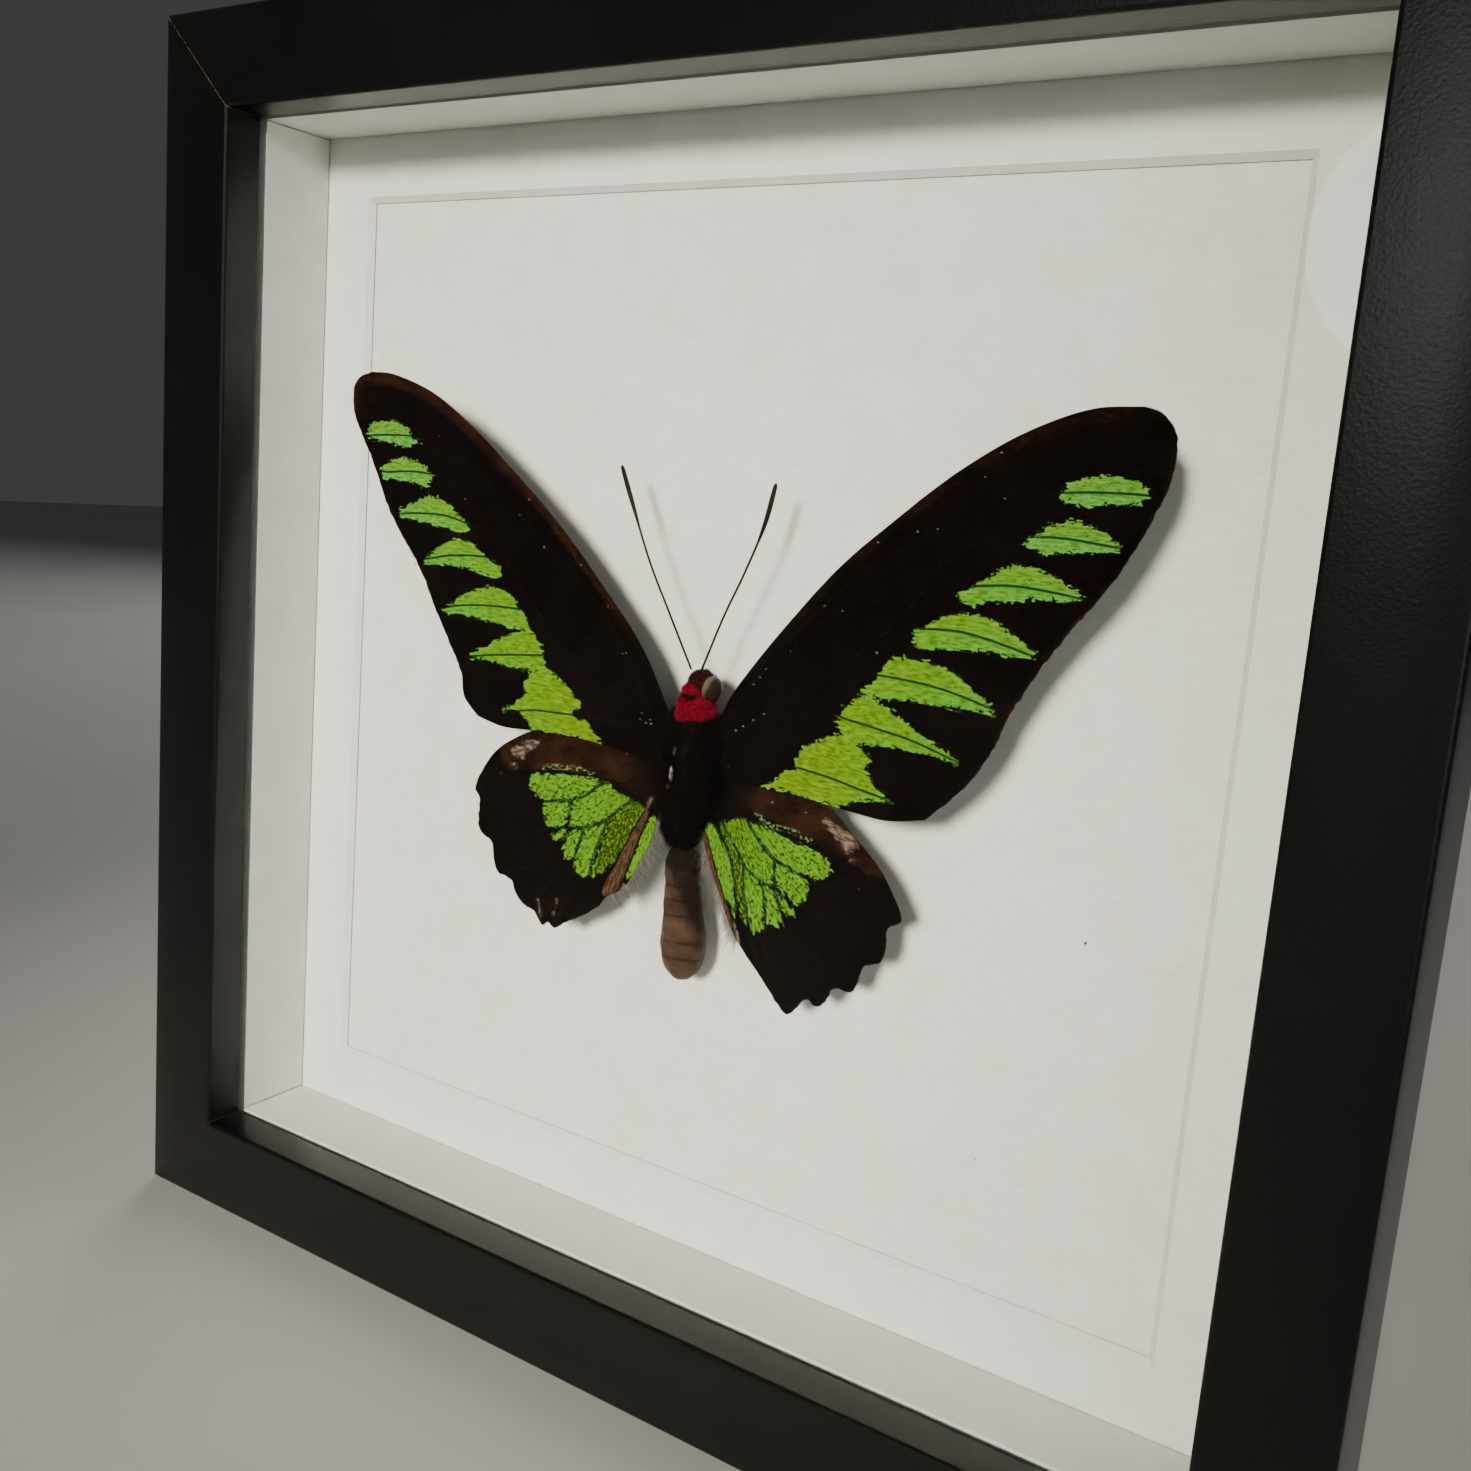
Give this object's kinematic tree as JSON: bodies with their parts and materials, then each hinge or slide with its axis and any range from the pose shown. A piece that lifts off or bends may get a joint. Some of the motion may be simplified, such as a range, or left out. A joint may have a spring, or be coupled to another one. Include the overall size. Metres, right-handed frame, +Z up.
{
  "type": "framed butterfly specimen",
  "caption": "Square black box frame with a glass front, white liner and bevelled mat, holding a spread black and green butterfly.",
  "frame": {"origin": "middle of the lower rail's underside, under the middle of the object's box", "axes": "+Z up, -Y out of the glass towards the viewer, +Y towards the wall, +X to the viewer's right"},
  "size_m": [0.25, 0.045, 0.25],
  "materials": {
    "black_foil": "satin black foil over fibreboard",
    "glass": "clear polished sheet glass",
    "white_liner": "matt white board",
    "mat_card": "matt white card with a bevel cut",
    "backing_paper": "matt white paper with a fine tooth",
    "brown_board": "smooth brown hardboard",
    "steel": "zinc plated",
    "wing_scales": "velvety black scales with bright green patches",
    "body_hair": "short black hair",
    "collar_hair": "dense crimson hair",
    "head_shell": "dark red-brown, hard and slightly shiny",
    "abdomen_shell": "dry brown segments, slightly shiny"
  },
  "bodies": {
    "root": {"rail_top": "black_foil", "rail_bottom": "black_foil", "rail_left": "black_foil", "rail_right": "black_foil", "front_glass": "glass", "liner_top": "white_liner", "liner_bottom": "white_liner", "liner_left": "white_liner", "liner_right": "white_liner", "mat_board": "mat_card", "backing_card": "backing_paper", "back_board": "brown_board", "tab_top_1": "steel", "tab_top_2": "steel", "tab_bottom_1": "steel", "tab_bottom_2": "steel", "tab_left_1": "steel", "tab_left_2": "steel", "tab_right_1": "steel", "tab_right_2": "steel", "hanger_plate": "steel", "hanger_screw_left": "steel", "hanger_screw_right": "steel", "forewing_left": "wing_scales", "forewing_right": "wing_scales", "hindwing_left": "wing_scales", "hindwing_right": "wing_scales", "thorax": "body_hair", "collar": "collar_hair", "head": "head_shell", "antenna_left": "head_shell", "antenna_right": "head_shell", "abdomen": "abdomen_shell"}
  },
  "joints": []
}
